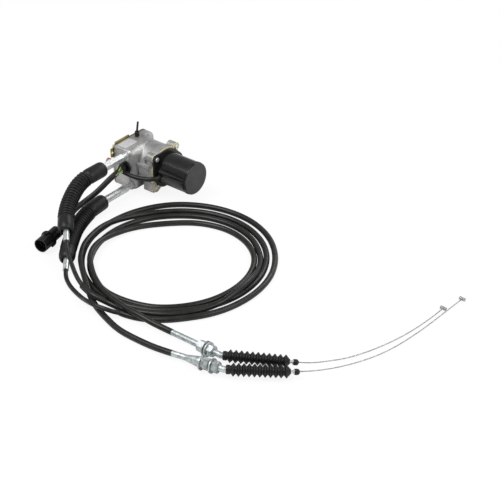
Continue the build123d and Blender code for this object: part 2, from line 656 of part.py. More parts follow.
def layshaft_pin():
    """Fixed pin: a thick end pressed in the wall and a thin end that carries the cluster gear."""
    pin = rod_x(CHAMBER_X0 - 8, CHAMBER_X0 + 0.4, LAYSHAFT_R, LAYSHAFT_Y)
    pin += rod_x(CHAMBER_X0, CLUSTER_GEAR_X0 + GEAR_T + 2.2, PIN_R, LAYSHAFT_Y)
    head = rod_x(CLUSTER_GEAR_X0 + GEAR_T + 0.6, CLUSTER_GEAR_X0 + GEAR_T + 1.6, PIN_R + 1.4, LAYSHAFT_Y)
    return pin + head


def output_gear():
    wheel = gear_x(OUTPUT_GEAR_X0, GEAR_T, GEAR_TEETH, 0.7, HALF_PITCH_GEAR, AXIS_Y)
    for k in range(6):
        wheel -= Pos(0, AXIS_Y, AXIS_Z) * Rot(60 * k, 0, 0) * Pos(0, 0, -AXIS_Z) * rod_x(
            OUTPUT_GEAR_X0 - 1, OUTPUT_GEAR_X0 + GEAR_T + 1, 3.2, 11, AXIS_Z)
    return wheel - rod_x(OUTPUT_GEAR_X0 - 1, OUTPUT_GEAR_X0 + GEAR_T + 1, OUTPUT_SHAFT_R)


def output_shaft():
    shaft = rod_x(PLATE_X0, OUTPUT_GEAR_X0 + GEAR_T + 0.5, OUTPUT_SHAFT_R)
    return shaft + rod_x(PLATE_X0 - SENSOR_T + 2, PLATE_X0 + 1, SENSOR_SHAFT_R)


def shaft_bearings():
    front = tube_x(CHAMBER_X0 - BEARING_T, CHAMBER_X0, BEARING_R, OUTPUT_SHAFT_R + RUNNING)
    rear = tube_x(PLATE_X0, PLATE_X0 + PLATE_T, BEARING_R, OUTPUT_SHAFT_R + RUNNING)
    return Compound([front, rear])


def bearing_plate():
    plate = tube_x(PLATE_X0, PLATE_X0 + PLATE_T, CAVITY_R, BEARING_R)
    for k in range(3):
        plate -= Pos(0, AXIS_Y, AXIS_Z) * Rot(120 * k, 0, 0) * Pos(0, 0, -AXIS_Z) * rod_x(
            PLATE_X0 - 1, PLATE_X0 + PLATE_T + 1, 5.5, 24, AXIS_Z)
    return plate


def cable_drum():
    drum = rod_x(DRUM_X0, DRUM_X1, DRUM_R + DRUM_RIM)
    for x in GROOVE_X:
        ring = tube_x(x - GROOVE_W / 2, x + GROOVE_W / 2, DRUM_R + DRUM_RIM + 1, DRUM_R - CORE_R)
        drum -= ring
    for k in range(5):
        drum -= Pos(0, AXIS_Y, AXIS_Z) * Rot(72 * k + 36, 0, 0) * Pos(0, 0, -AXIS_Z) * rod_x(
            DRUM_X0 - 1, DRUM_X1 + 1, 6.5, 17, AXIS_Z)
    for x, start in zip(GROOVE_X, (-100, 100)):
        drum -= nipple_at(x, start)
    return drum - rod_x(DRUM_X0 - 1, DRUM_X1 + 1, OUTPUT_SHAFT_R)


def nipple_at(x, angle):
    """Cross-wise pin of a cable end, seated in the drum at an angle from +Y."""
    a = math.radians(angle)
    y, z = AXIS_Y + DRUM_R * math.cos(a), AXIS_Z + DRUM_R * math.sin(a)
    return rod_x(x - GROOVE_W / 2, x + GROOVE_W / 2, NIPPLE_R, y, z)


def wrapped_wire(x, angle0, angle1):
    """Inner wire lying in its groove between two angles from +Y."""
    def point(angle):
        a = math.radians(angle)
        return (x, AXIS_Y + DRUM_R * math.cos(a), AXIS_Z + DRUM_R * math.sin(a))
    arc = ThreePointArc(point(angle0), point((angle0 + angle1) / 2), point(angle1))
    plane = Plane(origin=point(angle0), z_dir=arc % 0)
    return sweep(plane * Circle(CORE_R), path=arc)


def drum_wires():
    """Wires run from the tangent point over the +Y side of the drum to a nipple on its far side."""
    gap = math.degrees(DRUM_WIRE_GAP / DRUM_R)
    upper = wrapped_wire(GROOVE_X[0], 90 - gap, -100) + nipple_at(GROOVE_X[0], -100)
    lower = wrapped_wire(GROOVE_X[1], -90 + gap, 100) + nipple_at(GROOVE_X[1], 100)
    return Compound([upper.solid(), lower.solid()])


def core_wire(n):
    x, z = GROOVE_X[n], WIRE_Z[n]
    return rod_between((x, CORE_START[n], z), (x, BOX_Y0 - CORE_OUT, z), CORE_R)


def position_sensor():
    body = tube_x(PLATE_X0 - SENSOR_T, PLATE_X0 - 0.0, SENSOR_R, SENSOR_SHAFT_R + RUNNING)
    body -= rod_x(PLATE_X0 - 1.5, PLATE_X0 + 1, OUTPUT_SHAFT_R + GAP)
    plug = box_between(PLATE_X0 - SENSOR_T, PLATE_X0 - 1, AXIS_Y - SENSOR_R - 7, AXIS_Y - SENSOR_R + 3,
                       AXIS_Z - 6, AXIS_Z + 6)
    return body + plug


# ---------------------------------------------------------------- fittings, boots, ferrules
def fitting_axis(n, distance):
    return (GROOVE_X[n], BOX_Y0 - distance, WIRE_Z[n])


def fitting_rod(n, start, end, radius):
    return rod_between(fitting_axis(n, start), fitting_axis(n, end), radius)


def conduit_studs():
    studs = []
    for n in (0, 1):
        stud = fitting_rod(n, -STUD_IN, STUD_OUT + 6, STUD_R)
        studs.append(stud - fitting_rod(n, -STUD_IN - 1, STUD_OUT + 7, CORE_BORE_R))
    return Compound(studs)


def fitting_bore(n):
    stud = fitting_rod(n, STUD_OUT - 1, STUD_OUT + 6, STUD_R)
    return stud + fitting_rod(n, STUD_OUT, FITTING_LENGTH[n] + NECK_LENGTH + 1, CORE_BORE_R)


def long_nut():
    nut = hex_between(fitting_axis(0, STUD_OUT), fitting_axis(0, FITTING_LENGTH[0]), NUT_AF, 0.12)
    nut += fitting_rod(0, FITTING_LENGTH[0] - 1, FITTING_LENGTH[0] + NECK_LENGTH, NECK_FIT_R)
    return nut - fitting_bore(0)


def crimp_sleeve():
    sleeve = hex_between(fitting_axis(1, STUD_OUT), fitting_axis(1, STUD_OUT + 7), NUT_AF, 0.12)
    sleeve += fitting_rod(1, STUD_OUT + 6, FITTING_LENGTH[1], SLEEVE_R)
    sleeve += fitting_rod(1, FITTING_LENGTH[1] - 1, FITTING_LENGTH[1] + NECK_LENGTH, NECK_FIT_R)
    for k, distance in enumerate((30, 38, 46)):
        ring = fitting_rod(1, distance, distance + 4, SLEEVE_R + 1)
        ring -= hex_between(fitting_axis(1, distance - 1), fitting_axis(1, distance + 5), SLEEVE_R * 1.86)
        sleeve -= ring
    return sleeve - fitting_bore(1)


def lead_in_points(n):
    start = fitting_axis(n, FITTING_LENGTH[n] + NECK_LENGTH)
    bend = fitting_axis(n, FITTING_LENGTH[n] + NECK_LENGTH + STRAIGHT_RUN)
    return [start, bend] + (ROUTE_1, ROUTE_2)[n]


def ferrule(n):
    route, count = ((ROUTE_1, BOOT_1_POINTS), (ROUTE_2, BOOT_2_POINTS))[n]
    at, after = route[count - 1], route[count]
    return rod_between(along(at, after, -FERRULE_IN), along(at, after, FERRULE_LENGTH), FERRULE_R)


def boot(n, conduit_cut):
    route, count = ((ROUTE_1, BOOT_1_POINTS), (ROUTE_2, BOOT_2_POINTS))[n]
    bend = fitting_axis(n, FITTING_LENGTH[n] + NECK_LENGTH + STRAIGHT_RUN)
    points = [fitting_axis(n, FITTING_LENGTH[n]), bend] + route[:count]
    body = route_tube(f"boot {n + 1}", points, BOOT_R)
    neck = fitting_rod(n, FITTING_LENGTH[n] - 1, FITTING_LENGTH[n] + NECK_LENGTH, NECK_FIT_R)
    return body - conduit_cut - neck - ferrule(n)


# ---------------------------------------------------------------- coil
def coil():
    outer = Pos(*COIL_CENTRE) * Rot(0, 0, COIL_TURN) * Ellipse(COIL_HALF_DEPTH, COIL_HALF_WIDTH)
    hole = Pos(*COIL_HOLE_CENTRE) * Rot(0, 0, COIL_TURN)
    hole = hole * Ellipse(COIL_HOLE_HALF_DEPTH, COIL_HOLE_HALF_WIDTH)
    clear_of_motor = rod_x(CAN_X0, CAN_X1 + 3, CAN_R + 3)
    return extrude(outer - hole, COIL_HEIGHT) - clear_of_motor


# ---------------------------------------------------------------- far end of each cable
def hub(n):
    start, tip = HUB_START[n], HUB_TIP[n]
    body = rod_between(start, along(start, tip, CRIMP_LENGTH), CRIMP_R)
    body += rod_between(along(start, tip, CRIMP_LENGTH - 1), tip, THREAD_R)
    body += Pos(*tip) * Sphere(THREAD_R) + rod_between(tip, along(tip, BELLOWS_END[n], STUB), THREAD_R)
    if n == 1:
        cone_start, cone_end, washer = CONE_AT
        place = Plane(origin=along(start, tip, cone_start), z_dir=Vector(*tip) - Vector(*start))
        upward = (Align.CENTER, Align.CENTER, Align.MIN)
        body += place.location * Cone(CRIMP_R, CONE_R, cone_end - cone_start, align=upward)
        body += rod_between(along(start, tip, cone_end), along(start, tip, washer), CONE_R)
    bore = rod_between(along(start, tip, -1), tip, CORE_BORE_R + SLIDING)
    bore += Pos(*tip) * Sphere(CORE_BORE_R + SLIDING)
    return body - bore - rod_between(tip, along(tip, BELLOWS_END[n], STUB + 1), CORE_BORE_R + SLIDING)


def hub_nuts():
    nuts = []
    for n in (0, 1):
        start, tip = HUB_START[n], HUB_TIP[n]
        for at, width in zip(HUB_NUT_AT[n], HUB_NUT_T):
            near, far = along(start, tip, at), along(start, tip, at + width)
            hole = rod_between(along(start, tip, at - 1), along(start, tip, at + width + 1), THREAD_R)
            nuts.append(hex_between(near, far, HUB_NUT_AF, 0.16) - hole)
    return Compound(nuts)


def hub_washers():
    rings = []
    for n in (0, 1):
        start, tip = HUB_START[n], HUB_TIP[n]
        for at in WASHER_AT[n]:
            disc = rod_between(along(start, tip, at), along(start, tip, at + WASHER_T), WASHER_R)
            hole = rod_between(along(start, tip, at - 1), along(start, tip, at + WASHER_T + 1), THREAD_R)
            rings.append(disc - hole)
    return Compound(rings)


def bellows(n):
    start, end = Vector(*HUB_TIP[n]), Vector(*BELLOWS_END[n])
    length = (end - start).length - BELLOWS_SEAT
    head, tail = BELLOWS_NECK
    pitch = (length - head - tail) / BELLOWS_FOLDS
    outline = [(BELLOWS_HEAD_R, 0), (BELLOWS_HEAD_R, head - 1), (BELLOWS_ROOT_R, head)]
    for k in range(BELLOWS_FOLDS):
        z = head + pitch * k
        outline += [(BELLOWS_R, z + pitch / 2), (BELLOWS_ROOT_R, z + pitch)]
    outline += [(TIP_R + BELLOWS_WALL, length - 1), (TIP_R + BELLOWS_WALL, length)]
    inner = [(r - BELLOWS_WALL, z) for r, z in reversed(outline[2:])]
    inner += [(THREAD_R + RUNNING, head - 1), (THREAD_R + RUNNING, 0)]
    profile = make_face(Polyline(*outline, *inner, close=True))
    solid = revolve(Plane.XZ * profile, Axis.Z)
    return Plane(origin=along(start, end, BELLOWS_SEAT), z_dir=end - start).location * solid


def wire_tip(n):
    start, end = HUB_TIP[n], BELLOWS_END[n]
    length = (Vector(*end) - Vector(*start)).length
    sleeve = rod_between(along(start, end, length - 4), along(start, end, length + 4), TIP_R - 0.06)
    cap = rod_between(along(start, end, length + 4), along(start, end, length + 4 + CAP_LENGTH), CAP_R)
    body = sleeve + fillet(cap.edges(), 1.0)
    return body - rod_between(along(start, end, length - 6), along(start, end, length + 16), CORE_R)


def inner_wire(n):
    start, end = HUB_TIP[n], BELLOWS_END[n]
    length = (Vector(*end) - Vector(*start)).length
    points = [along(start, end, length - ROD_INSIDE + 30), along(start, end, length + 4)]
    route = (WIRE_1, WIRE_2)[n]
    rod = rod_between(along(start, end, length - ROD_INSIDE), points[0], CORE_R)
    return route_tube(f"inner wire {n + 1}", points + route, CORE_R) + rod


def wire_end(n):
    route = (WIRE_1, WIRE_2)[n]
    last_run = (Vector(*route[-1]) - Vector(*route[-2])).length
    body = rod_between(route[-1], along(route[-2], route[-1], last_run + END_LENGTH), END_R)
    return fillet(body.edges(), 0.5)


# ---------------------------------------------------------------- wiring
def grommet():
    seat = (GROMMET_X, BOX_Y0, GROMMET_Z)
    face = rod_between((GROMMET_X, BOX_Y0 - GROMMET_FLANGE_T, GROMMET_Z), seat, GROMMET_R)
    face = fillet(face.edges().sort_by(Axis.Y)[0], 1.2)
    stem = rod_between((GROMMET_X, BOX_Y0 - 1, GROMMET_Z),
                       (GROMMET_X, BOX_Y0 + 8, GROMMET_Z), GROMMET_HOLE_R)
    tip = (GROMMET_X, BOX_Y0 - GROMMET_OUT, GROMMET_Z)
    nose = rod_between(tip, (GROMMET_X, BOX_Y0 - 1, GROMMET_Z), GROMMET_NOSE_R)
    return face + stem + nose


def harness():
    start = (GROMMET_X, BOX_Y0 - GROMMET_OUT, GROMMET_Z)
    return route_tube("harness", [start] + HARNESS + [CONNECTOR_REAR], HARNESS_R)


def connector_body():
    rear, mouth = CONNECTOR_REAR, CONNECTOR_MOUTH
    length = (Vector(*mouth) - Vector(*rear)).length
    body = rod_between(rear, along(rear, mouth, 23), CONNECTOR_R - 1.5)
    body += rod_between(along(rear, mouth, 22), mouth, CONNECTOR_R)
    body += rod_between(along(rear, mouth, 24), along(rear, mouth, 26), CONNECTOR_COLLAR_R)
    for k in range(3):
        turn = Plane(origin=Vector(*rear), z_dir=Vector(*mouth) - Vector(*rear))
        tab = Pos(CONNECTOR_R + 0.8, 0, 29) * Box(4.0, 5.0, 8.0)
        body += turn.location * (Rot(0, 0, 120 * k + 30) * tab)
    return body - rod_between(along(rear, mouth, length - CONNECTOR_DEPTH), along(rear, mouth, length + 1),
                              CONNECTOR_R - CONNECTOR_WALL)


def connector_terminals():
    rear, mouth = CONNECTOR_REAR, CONNECTOR_MOUTH
    length = (Vector(*mouth) - Vector(*rear)).length
    frame = Plane(origin=Vector(*rear), z_dir=Vector(*mouth) - Vector(*rear)).location
    pins = []
    for k in range(TERMINALS):
        a = math.radians(360 * k / TERMINALS)
        place = Pos(6.4 * math.cos(a), 6.4 * math.sin(a), length - CONNECTOR_DEPTH)
        pin = Cylinder(TERMINAL_R, 14, align=(Align.CENTER, Align.CENTER, Align.MIN))
        pins.append(frame * (place * pin))
    return Compound(pins)


def vent_base():
    upward = (Align.CENTER, Align.CENTER, Align.MIN)
    body = Pos(VENT_X, VENT_Y, BOX_Z1) * Cylinder(VENT_R, VENT_HEIGHT, align=upward)
    body = fillet(body.edges().sort_by(Axis.Z)[-1], 1.5)
    return body + rod_between((VENT_X, VENT_Y, BOX_Z1 - 8), (VENT_X, VENT_Y, BOX_Z1 + 1), VENT_TUBE_R)


def vent_tube():
    foot = Vector(VENT_X, VENT_Y, BOX_Z1 + VENT_HEIGHT)
    lean = math.radians(VENT_LEAN)
    tip = foot + Vector(math.sin(lean), 0, math.cos(lean)) * VENT_TUBE
    tube = rod_between(tuple(foot), tuple(tip), VENT_TUBE_R)
    below = Pos(VENT_X, VENT_Y, foot.Z - 5) * Box(30, 30, 10)
    return tube - below


def label_plate():
    return box_between(*LABEL_X, *LABEL_Y, BOX_Z1, BOX_Z1 + LABEL_T)


# ---------------------------------------------------------------- build
export("housing", housing())
export("cover_plate", cover_plate())
export("cover_gasket", cover_gasket())
export("cover_bolts", cover_bolts())
export("motor_plate", motor_plate())
export("motor_flange", motor_flange())
export("flange_screws", flange_screws())
export("motor_can", motor_can())
export("magnets", magnets())
export("armature_core", armature_core())
export("armature_windings", armature_windings())
export("commutator", commutator())
export("motor_shaft", motor_shaft())
export("brushes", brushes())
export("brush_holder", brush_holder())
export("motor_bearings", motor_bearings())
export("motor_pinion", motor_pinion())
export("cluster_gear", cluster_gear())
export("layshaft_pin", layshaft_pin())
export("output_gear", output_gear())
export("output_shaft", output_shaft())
export("shaft_bearings", shaft_bearings())
export("bearing_plate", bearing_plate())
export("cable_drum", cable_drum())
export("drum_wires", drum_wires())
export("position_sensor", position_sensor())
export("conduit_studs", conduit_studs())
export("long_nut", long_nut())
export("crimp_sleeve", crimp_sleeve())
export("grommet", grommet())
export("vent_base", vent_base())
export("vent_tube", vent_tube())
export("label_plate", label_plate())
export("cable_coil", coil())
export("hub_nuts", hub_nuts())
export("hub_washers", hub_washers())
export("harness", harness())
export("connector_body", connector_body())
export("connector_terminals", connector_terminals())
export("motor_lead", route_tube("motor lead", MOTOR_LEAD, LEAD_R))
for n in (0, 1):
    points = lead_in_points(n)
    conduit = route_tube(f"lead-in {n + 1}", points, CONDUIT_R)
    conduit_cut = route_tube("", points, CONDUIT_R + SLIDING)
    export(f"cable_{n + 1}_lead_in", conduit)
    export(f"boot_{n + 1}", boot(n, conduit_cut))
    export(f"ferrule_{n + 1}", ferrule(n) - conduit)
    start, tip = HUB_START[n], HUB_TIP[n]
    lead_out = (LEAD_OUT_1, LEAD_OUT_2)[n] + [along(start, tip, -HUB_RUN), start]
    export(f"cable_{n + 1}_lead_out", route_tube(f"lead-out {n + 1}", lead_out, SLEEVED_R))
    export(f"core_wire_{n + 1}", core_wire(n))
    export(f"hub_{n + 1}", hub(n))
    export(f"bellows_{n + 1}", bellows(n))
    export(f"wire_tip_{n + 1}", wire_tip(n))
    export(f"inner_wire_{n + 1}", inner_wire(n))
    export(f"wire_end_{n + 1}", wire_end(n))
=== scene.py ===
import json
import math

import bmesh
import bpy
from mathutils import Matrix, Vector


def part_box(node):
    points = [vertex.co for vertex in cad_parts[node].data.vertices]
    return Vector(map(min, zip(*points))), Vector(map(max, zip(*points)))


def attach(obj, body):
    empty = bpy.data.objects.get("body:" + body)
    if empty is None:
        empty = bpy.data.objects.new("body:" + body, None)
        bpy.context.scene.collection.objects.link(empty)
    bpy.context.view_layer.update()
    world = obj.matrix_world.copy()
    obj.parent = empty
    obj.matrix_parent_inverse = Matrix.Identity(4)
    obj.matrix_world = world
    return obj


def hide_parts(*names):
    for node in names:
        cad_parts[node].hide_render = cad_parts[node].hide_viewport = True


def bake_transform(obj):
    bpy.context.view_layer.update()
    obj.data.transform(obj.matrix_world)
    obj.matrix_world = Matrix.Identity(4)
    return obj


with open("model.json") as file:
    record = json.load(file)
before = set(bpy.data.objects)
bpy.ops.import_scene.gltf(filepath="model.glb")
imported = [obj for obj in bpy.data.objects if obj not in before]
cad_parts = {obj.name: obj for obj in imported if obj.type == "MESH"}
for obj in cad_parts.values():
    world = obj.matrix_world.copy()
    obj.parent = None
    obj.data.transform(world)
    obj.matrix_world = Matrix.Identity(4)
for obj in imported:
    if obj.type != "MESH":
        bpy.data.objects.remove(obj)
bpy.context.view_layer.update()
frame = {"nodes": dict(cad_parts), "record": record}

# ---------------------------------------------------------------- sizes (metres) and routes
MM = 0.001
CONDUIT = 0.0075
SLEEVED = 0.0103
WIRE = 0.0018
HARNESS_DIAMETER = 0.0105
LEAD_DIAMETER = 0.0080

# the conduits: fitting, boot, ferrule and on to the start of the protective sleeve
CONDUIT_1 = [
    (-0.0410, -0.1180, 0.0770), (-0.0410, -0.1300, 0.0770), (-0.0432, -0.1460, 0.0758),
    (-0.0425, -0.1650, 0.0718), (-0.0355, -0.1880, 0.0655), (-0.0240, -0.2140, 0.0560),
    (-0.0043, -0.2398, 0.0472), (0.0130, -0.2560, 0.0432), (0.0342, -0.2777, 0.0362),
    (0.0520, -0.2920, 0.0308), (0.0713, -0.3051, 0.0275), (0.0918, -0.3182, 0.0240),
    (0.1086, -0.3266, 0.0200), (0.1240, -0.3312, 0.0165),
]
CONDUIT_2 = [
    (-0.0340, -0.1280, 0.0170), (-0.0340, -0.1400, 0.0170), (-0.0319, -0.1570, 0.0149),
    (-0.0270, -0.1740, 0.0144), (-0.0205, -0.1920, 0.0143), (-0.0100, -0.2150, 0.0143),
    (0.0055, -0.2390, 0.0143), (0.0231, -0.2650, 0.0143), (0.0414, -0.2874, 0.0136),
    (0.0560, -0.3050, 0.0084), (0.0680, -0.3170, 0.0046), (0.0862, -0.3282, 0.0040),
    (0.1078, -0.3367, 0.0042), (0.1333, -0.3455, 0.0070), (0.1520, -0.3540, 0.0145),
    (0.1725, -0.3580, 0.0174), (0.1940, -0.3535, 0.0166), (0.2050, -0.3445, 0.0105),
    (0.2130, -0.3370, 0.0075),
]
BOOT_START = (Vector((-0.0410, -0.1050, 0.0770)), Vector((-0.0340, -0.1150, 0.0170)))
BOOT_LENGTH = (0.1735, 0.1938)
BOOT_RIBS = (17, 19)

# the coil: stations of (degrees from +X, radius and height in millimetres) round a centre in metres
COIL_CENTRE = (0.174, -0.160)
COIL_STEP = 22.5          # degrees between the control points
LOW, HIGH = 5.15, 15.5
COIL_1 = [
    (251.8, 178.2, 16.2), (261.0, 180.0, 15.9), (266.5, 173.5, 12.0), (272.0, 168.0, 6.5),
    (282.0, 167.0, LOW), (310.0, 163.5, LOW), (335.0, 157.0, 8.0), (350.0, 152.0, HIGH + 1),
    (366.0, 147.0, HIGH), (385.0, 142.5, LOW), (400.0, 141.0, LOW), (445.0, 138.0, LOW),
    (491.6, 133.0, LOW), (535.0, 139.0, LOW), (582.0, 145.0, LOW), (624.0, 148.5, LOW),
    (650.0, 146.5, LOW), (670.0, 142.5, LOW), (715.0, 134.0, LOW), (760.0, 131.0, LOW),
    (805.0, 121.0, LOW), (851.6, 108.0, LOW), (885.0, 120.0, LOW), (910.0, 133.0, 9.0),
    (928.0, 140.0, HIGH), (942.0, 144.3, HIGH), (953.5, 145.0, HIGH), (968.4, 150.0, HIGH),
    (983.7, 159.0, HIGH), (996.0, 167.0, HIGH), (1007.2, 179.6, HIGH),
]
COIL_2 = [
    (281.0, 181.5, 8.0), (286.0, 180.5, LOW), (297.0, 179.5, LOW), (310.0, 175.0, LOW),
    (355.0, 168.0, LOW), (400.0, 166.0, LOW), (445.0, 171.0, LOW), (491.6, 172.0, LOW),
    (535.0, 164.0, LOW), (582.0, 159.0, LOW), (625.0, 158.5, LOW), (670.0, 152.5, LOW),
    (715.0, 151.5, LOW), (760.0, 152.0, LOW), (805.0, 152.5, LOW), (851.6, 149.0, LOW),
    (880.0, 151.0, 7.0), (903.0, 155.0, HIGH), (925.0, 158.5, HIGH), (942.0, 159.5, HIGH),
    (953.5, 159.8, HIGH), (965.6, 164.5, HIGH), (972.0, 169.0, 11.5), (979.0, 176.5, LOW),
    (988.5, 188.5, LOW), (998.6, 204.0, LOW),
]
LEAD_OUT_1 = [(0.2480, -0.3318, 0.0152), (0.2700, -0.3305, 0.0118)]
LEAD_OUT_2 = [
    (0.2330, -0.3700, 0.0052), (0.2600, -0.3720, 0.0052), (0.2980, -0.3714, 0.0055),
]
WIRE_1 = [
    (0.5260, -0.2570, 0.0096), (0.5410, -0.2340, 0.0066), (0.5535, -0.2140, 0.0044),
    (0.5650, -0.1910, 0.0032), (0.5770, -0.1620, 0.0030), (0.5880, -0.1275, 0.0030),
    (0.5965, -0.0890, 0.0030), (0.6015, -0.0450, 0.0030), (0.6028, -0.0180, 0.0030),
    (0.6030, -0.0060, 0.0030),
]
WIRE_2 = [
    (0.5410, -0.2690, 0.0094), (0.5535, -0.2480, 0.0064), (0.5645, -0.2270, 0.0042),
    (0.5755, -0.2050, 0.0032), (0.5870, -0.1790, 0.0030), (0.5970, -0.1470, 0.0030),
    (0.6040, -0.1070, 0.0030), (0.6085, -0.0620, 0.0030), (0.6110, -0.0140, 0.0030),
    (0.6125, 0.0170, 0.0030), (0.6135, 0.0350, 0.0030),
]
HARNESS = [
    (-0.0450, -0.0510, 0.0510), (-0.0455, -0.0610, 0.0494), (-0.0480, -0.0730, 0.0450),
    (-0.0510, -0.0860, 0.0380), (-0.0545, -0.0990, 0.0295), (-0.0600, -0.1130, 0.0200),
    (-0.0675, -0.1310, 0.0106), (-0.0690, -0.1520, 0.0062), (-0.0615, -0.1750, 0.0054),
    (-0.0505, -0.1960, 0.0064), (-0.0405, -0.2150, 0.0096), (-0.0345, -0.2280, 0.0134),
    (-0.0304, -0.2370, 0.0156),
]
MOTOR_LEAD = [
    (0.0170, -0.0224, 0.0425), (0.0154, -0.0310, 0.0420), (0.0084, -0.0386, 0.0412),
    (-0.0050, -0.0445, 0.0408), (-0.0200, -0.0496, 0.0416), (-0.0340, -0.0530, 0.0446),
    (-0.0445, -0.0570, 0.0496),
]
HUB_START = (Vector((0.3100, -0.3278, 0.0094)), Vector((0.3440, -0.3678, 0.0088)))
HUB_TIP = (Vector((0.4094, -0.3304, 0.0134)), Vector((0.4346, -0.3544, 0.0134)))
BELLOWS_END = (Vector((0.5010, -0.2780, 0.0130)), Vector((0.5167, -0.2965, 0.0130)))

# ---------------------------------------------------------------- camera
CAMERA_BACK = Vector((0.51583, -0.65691, 0.54990))
CAMERA_PLACE = Vector((1.50045, -1.64856, 1.33109))
FIELD_OF_VIEW = math.radians(20.0)


def make_camera():
    data = bpy.data.cameras.new("camera")
    data.sensor_width = 36.0
    data.angle = FIELD_OF_VIEW
    data.clip_end = 20.0
    camera = bpy.data.objects.new("camera", data)
    bpy.context.scene.collection.objects.link(camera)
    turn = CAMERA_BACK.to_track_quat("Z", "Y").to_matrix().to_4x4()
    camera.matrix_world = Matrix.Translation(CAMERA_PLACE) @ turn
    bpy.context.scene.camera = camera


make_camera()


# ---------------------------------------------------------------- materials
class Shader:
    """A node material built step by step round one Principled shader."""

    def __init__(self, name, color, roughness, metallic=0.0):
        self.material = bpy.data.materials.new(name)
        self.material.use_nodes = True
        self.tree = self.material.node_tree
        self.shader = self.tree.nodes["Principled BSDF"]
        self.shader.inputs["Base Color"].default_value = (*color, 1)
        self.shader.inputs["Roughness"].default_value = roughness
        self.shader.inputs["Metallic"].default_value = metallic
        self.where = self.add("ShaderNodeTexCoord").outputs["Object"]

    def add(self, kind, **values):
        node = self.tree.nodes.new(kind)
        for key, value in values.items():
            setattr(node, key, value)
        return node

    def link(self, out, socket):
        self.tree.links.new(out, socket)

    def noise(self, scale, detail=4.0, rough=0.55):
        node = self.add("ShaderNodeTexNoise")
        node.inputs["Scale"].default_value = scale
        node.inputs["Detail"].default_value = detail
        node.inputs["Roughness"].default_value = rough
        self.link(self.where, node.inputs["Vector"])
        return node.outputs["Fac"]

    def ramp(self, fac, *stops):
        node = self.add("ShaderNodeValToRGB")
        elements = node.color_ramp.elements
        while len(elements) < len(stops):
            elements.new(0.5)
        for element, (place, color) in zip(elements, stops):
            element.position = place
            element.color = (*color, 1) if len(color) == 3 else color
        self.link(fac, node.inputs["Fac"])
        return node.outputs["Color"]

    def color(self, out):
        self.link(out, self.shader.inputs["Base Color"])
        return self

    def roughness(self, fac, low, high):
        node = self.add("ShaderNodeMapRange")
        node.inputs["To Min"].default_value = low
        node.inputs["To Max"].default_value = high
        self.link(fac, node.inputs["Value"])
        self.link(node.outputs["Result"], self.shader.inputs["Roughness"])
        return self

    def bump(self, fac, strength, distance):
        node = self.add("ShaderNodeBump")
        node.inputs["Strength"].default_value = strength
        node.inputs["Distance"].default_value = distance
        self.link(fac, node.inputs["Height"])
        self.link(node.outputs["Normal"], self.shader.inputs["Normal"])
        return self

    def set(self, **values):
        for key, value in values.items():
            self.shader.inputs[key.replace("_", " ")].default_value = value
        return self


def grey(v):
    return (v, v, v)


GRAIN_DEPTH = 0.0004


def mottled(name, dark, light, roughness, metallic=0.0, scale=60.0, bump=0.15, grain=900.0, spread=0.1):
    """Colour that drifts between two tones, with a finer grain in the surface."""
    s = Shader(name, dark, roughness[0], metallic)
    drift = s.noise(scale)
    s.color(s.ramp(drift, (0.5 - spread, dark), (0.5 + spread, light)))
    s.roughness(s.noise(scale * 3), *roughness)
    s.bump(s.noise(grain, 3.0), bump, GRAIN_DEPTH)
    return s


CAST = mottled("cast_aluminium", (0.36, 0.365, 0.36), (0.56, 0.56, 0.55),
               (0.34, 0.50), 0.75, 34.0, 0.45, 1400.0)
ZINC = mottled("zinc_yellow", (0.50, 0.40, 0.15), (0.68, 0.56, 0.26),
               (0.28, 0.42), 0.85, 70.0, 0.1, 800.0, 0.22)
BRIGHT = mottled("bright_steel", (0.70, 0.74, 0.74), grey(0.88), (0.22, 0.36), 0.8, 120.0, 0.05, 900.0)
DIMPLED = mottled("crimped_steel", (0.58, 0.61, 0.61), (0.87, 0.89, 0.89),
                  (0.24, 0.34), 0.8, 90.0, 0.06, 320.0)
STEEL = mottled("shaft_steel", grey(0.42), grey(0.55), (0.25, 0.38), 0.95, 150.0, 0.06, 1500.0)
CAN = mottled("can_black", grey(0.004), grey(0.007),
              (0.17, 0.24), 0.0, 40.0, 0.06, 1600.0).set(Specular_IOR_Level=0.55)
CAN_END = mottled("can_end_black", grey(0.030), grey(0.040), (0.5, 0.6), 0.0, 60.0, 0.1, 1600.0)
FLANGE = mottled("flange_black", grey(0.005), grey(0.009), (0.30, 0.42), 0.0, 70.0, 0.2, 1200.0)
GASKET = mottled("gasket_cream", (0.62, 0.52, 0.28), (0.76, 0.68, 0.44),
                 (0.6, 0.75), 0.0, 160.0, 0.2, 900.0)
RUBBER = mottled("rubber_black", grey(0.006), grey(0.011),
                 (0.36, 0.46), 0.0, 90.0, 0.15, 1300.0).set(Specular_IOR_Level=0.36)
CABLE = mottled("cable_black", (0.008, 0.008, 0.007), (0.016, 0.016, 0.014),
                (0.30, 0.40), 0.0, 55.0, 0.08, 900.0)
CABLE.set(Specular_IOR_Level=0.40)
PLASTIC = mottled("plastic_black", grey(0.004), grey(0.007),
                  (0.30, 0.42), 0.0, 80.0, 0.15, 1400.0).set(Specular_IOR_Level=0.4)
FERRITE = mottled("ferrite", grey(0.05), grey(0.08), (0.6, 0.7), 0.1, 120.0)
COPPER = mottled("copper", (0.50, 0.22, 0.11), (0.72, 0.38, 0.22), (0.25, 0.4), 0.95, 200.0)
LAMINATION = mottled("lamination", grey(0.14), grey(0.22), (0.4, 0.5), 0.8, 160.0)
CARBON = mottled("carbon", grey(0.02), grey(0.035), (0.5, 0.7), 0.1, 160.0)
TINNED = mottled("tinned_pin", (0.05, 0.045, 0.035), (0.09, 0.08, 0.06), (0.4, 0.5), 0.6, 160.0)
BRASS = mottled("brass", (0.55, 0.40, 0.16), (0.72, 0.56, 0.28), (0.22, 0.35), 0.95, 160.0)
